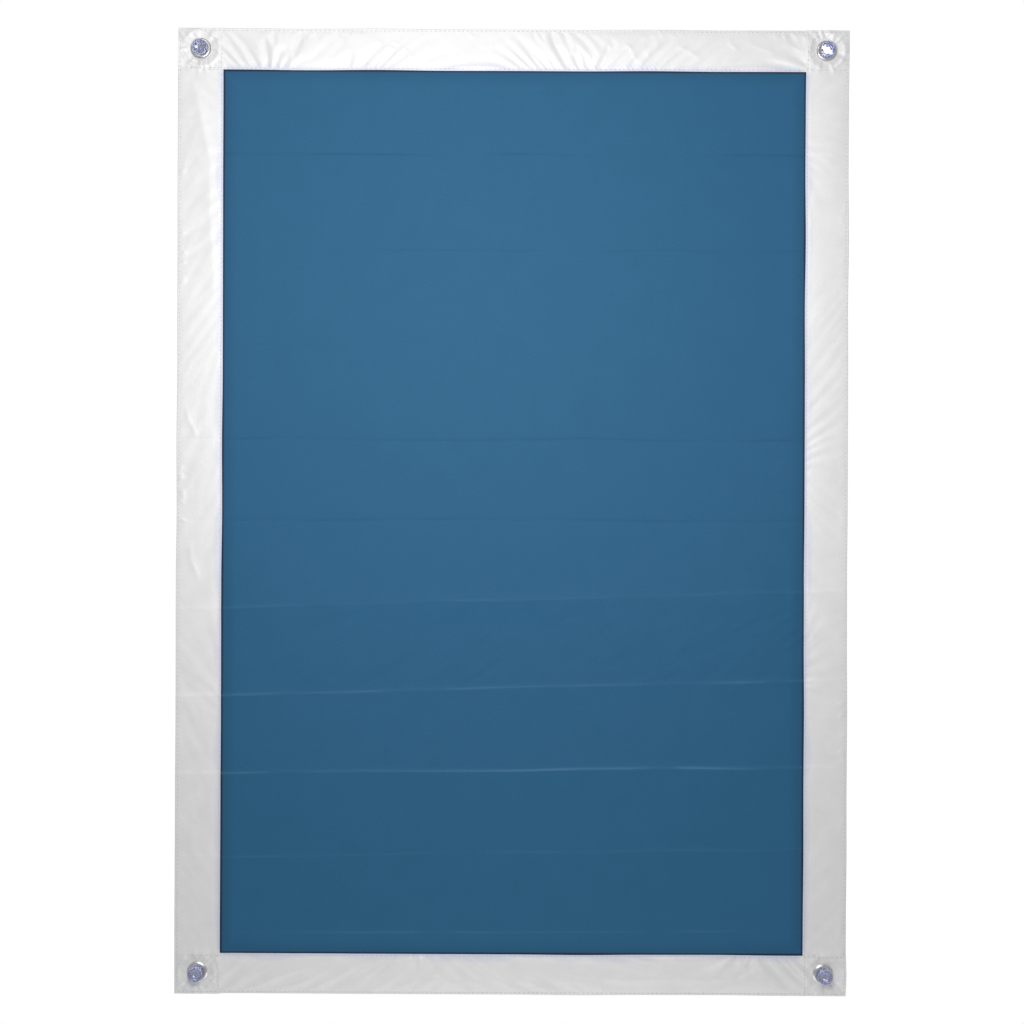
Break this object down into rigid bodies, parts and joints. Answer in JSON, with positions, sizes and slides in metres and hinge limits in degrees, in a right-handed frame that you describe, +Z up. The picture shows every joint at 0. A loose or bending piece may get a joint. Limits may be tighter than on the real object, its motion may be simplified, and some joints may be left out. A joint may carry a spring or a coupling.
{
  "type": "roof window sun blind",
  "caption": "Rectangular blue blackout blind with silver bound edges, held on a window pane by clear suction cups through corner eyelets; it folds up along its creases.",
  "frame": {"origin": "on the glass pane, behind the middle of the blind", "axes": "+Z up the blind, +X to the right as seen from the room, +Y from the room to the glass"},
  "size_m": [0.59, 0.019, 0.8486],
  "materials": {
    "blackout_fabric": "matt woven face, silver coated back",
    "silver_fabric": "aluminium coated cloth, satin",
    "sewing_thread": "matt thread",
    "nickel": "polished nickel plate",
    "clear_pvc": "clear soft PVC, glossy"
  },
  "bodies": {
    "panel_01": {"blackout_panel_01": "blackout_fabric", "left_border_01": "silver_fabric", "right_border_01": "silver_fabric", "seam_thread_01": "sewing_thread", "top_border": "silver_fabric", "eyelet_top_left": "nickel", "eyelet_washer_top_left": "nickel", "eyelet_top_right": "nickel", "eyelet_washer_top_right": "nickel"},
    "panel_02": {"blackout_panel_02": "blackout_fabric", "left_border_02": "silver_fabric", "right_border_02": "silver_fabric", "seam_thread_02": "sewing_thread"},
    "panel_03": {"blackout_panel_03": "blackout_fabric", "left_border_03": "silver_fabric", "right_border_03": "silver_fabric", "seam_thread_03": "sewing_thread"},
    "panel_04": {"blackout_panel_04": "blackout_fabric", "left_border_04": "silver_fabric", "right_border_04": "silver_fabric", "seam_thread_04": "sewing_thread"},
    "panel_05": {"blackout_panel_05": "blackout_fabric", "left_border_05": "silver_fabric", "right_border_05": "silver_fabric", "seam_thread_05": "sewing_thread"},
    "panel_06": {"blackout_panel_06": "blackout_fabric", "left_border_06": "silver_fabric", "right_border_06": "silver_fabric", "seam_thread_06": "sewing_thread"},
    "panel_07": {"blackout_panel_07": "blackout_fabric", "left_border_07": "silver_fabric", "right_border_07": "silver_fabric", "seam_thread_07": "sewing_thread"},
    "panel_08": {"blackout_panel_08": "blackout_fabric", "left_border_08": "silver_fabric", "right_border_08": "silver_fabric", "seam_thread_08": "sewing_thread"},
    "panel_09": {"blackout_panel_09": "blackout_fabric", "left_border_09": "silver_fabric", "right_border_09": "silver_fabric", "seam_thread_09": "sewing_thread"},
    "panel_10": {"blackout_panel_10": "blackout_fabric", "left_border_10": "silver_fabric", "right_border_10": "silver_fabric", "seam_thread_10": "sewing_thread"},
    "panel_11": {"blackout_panel_11": "blackout_fabric", "left_border_11": "silver_fabric", "right_border_11": "silver_fabric", "seam_thread_11": "sewing_thread", "bottom_border": "silver_fabric", "eyelet_bottom_left": "nickel", "eyelet_washer_bottom_left": "nickel", "eyelet_bottom_right": "nickel", "eyelet_washer_bottom_right": "nickel"},
    "cup_top_left": {"suction_cup_top_left": "clear_pvc"},
    "cup_top_right": {"suction_cup_top_right": "clear_pvc"},
    "cup_bottom_left": {"suction_cup_bottom_left": "clear_pvc"},
    "cup_bottom_right": {"suction_cup_bottom_right": "clear_pvc"}
  },
  "joints": [
    {"name": "fold_01", "type": "hinge", "parent": "panel_01", "child": "panel_02", "pos_m": [0, -0.012, 0.3143], "axis": [-1, 0, 0], "range_deg": [0, 174]},
    {"name": "fold_02", "type": "hinge", "parent": "panel_02", "child": "panel_03", "pos_m": [0, -0.008, 0.2299], "axis": [-1, 0, 0], "range_deg": [-174, 0]},
    {"name": "fold_03", "type": "hinge", "parent": "panel_03", "child": "panel_04", "pos_m": [0, -0.012, 0.1455], "axis": [-1, 0, 0], "range_deg": [0, 174]},
    {"name": "fold_04", "type": "hinge", "parent": "panel_04", "child": "panel_05", "pos_m": [0, -0.008, 0.0637], "axis": [-1, 0, 0], "range_deg": [-174, 0]},
    {"name": "fold_05", "type": "hinge", "parent": "panel_05", "child": "panel_06", "pos_m": [0, -0.012, -0.0075], "axis": [-1, 0, 0], "range_deg": [0, 174]},
    {"name": "fold_06", "type": "hinge", "parent": "panel_06", "child": "panel_07", "pos_m": [0, -0.008, -0.077], "axis": [-1, 0, 0], "range_deg": [-174, 0]},
    {"name": "fold_07", "type": "hinge", "parent": "panel_07", "child": "panel_08", "pos_m": [0, -0.012, -0.1544], "axis": [-1, 0, 0], "range_deg": [0, 174]},
    {"name": "fold_08", "type": "hinge", "parent": "panel_08", "child": "panel_09", "pos_m": [0, -0.008, -0.2265], "axis": [-1, 0, 0], "range_deg": [-174, 0]},
    {"name": "fold_09", "type": "hinge", "parent": "panel_09", "child": "panel_10", "pos_m": [0, -0.012, -0.2995], "axis": [-1, 0, 0], "range_deg": [0, 174]},
    {"name": "fold_10", "type": "hinge", "parent": "panel_10", "child": "panel_11", "pos_m": [0, -0.008, -0.3698], "axis": [-1, 0, 0], "range_deg": [-148, 0]},
    {"name": "cup_spin_top_left", "type": "hinge", "parent": "panel_01", "child": "cup_top_left", "pos_m": [-0.275, 0, 0.4063], "axis": [0, 1, 0], "continuous": true},
    {"name": "cup_spin_top_right", "type": "hinge", "parent": "panel_01", "child": "cup_top_right", "pos_m": [0.275, 0, 0.4063], "axis": [0, 1, 0], "continuous": true},
    {"name": "cup_spin_bottom_left", "type": "hinge", "parent": "panel_11", "child": "cup_bottom_left", "pos_m": [-0.2757, 0, -0.406], "axis": [0, 1, 0], "continuous": true},
    {"name": "cup_spin_bottom_right", "type": "hinge", "parent": "panel_11", "child": "cup_bottom_right", "pos_m": [0.2757, 0, -0.406], "axis": [0, 1, 0], "continuous": true}
  ],
  "couplings": [
    {"joint": "fold_02", "follows": "fold_01", "ratio": -1},
    {"joint": "fold_03", "follows": "fold_01", "ratio": 1},
    {"joint": "fold_04", "follows": "fold_01", "ratio": -1},
    {"joint": "fold_05", "follows": "fold_01", "ratio": 1},
    {"joint": "fold_06", "follows": "fold_01", "ratio": -1},
    {"joint": "fold_07", "follows": "fold_01", "ratio": 1},
    {"joint": "fold_08", "follows": "fold_01", "ratio": -1},
    {"joint": "fold_09", "follows": "fold_01", "ratio": 1},
    {"joint": "fold_10", "follows": "fold_01", "ratio": -0.85}
  ]
}
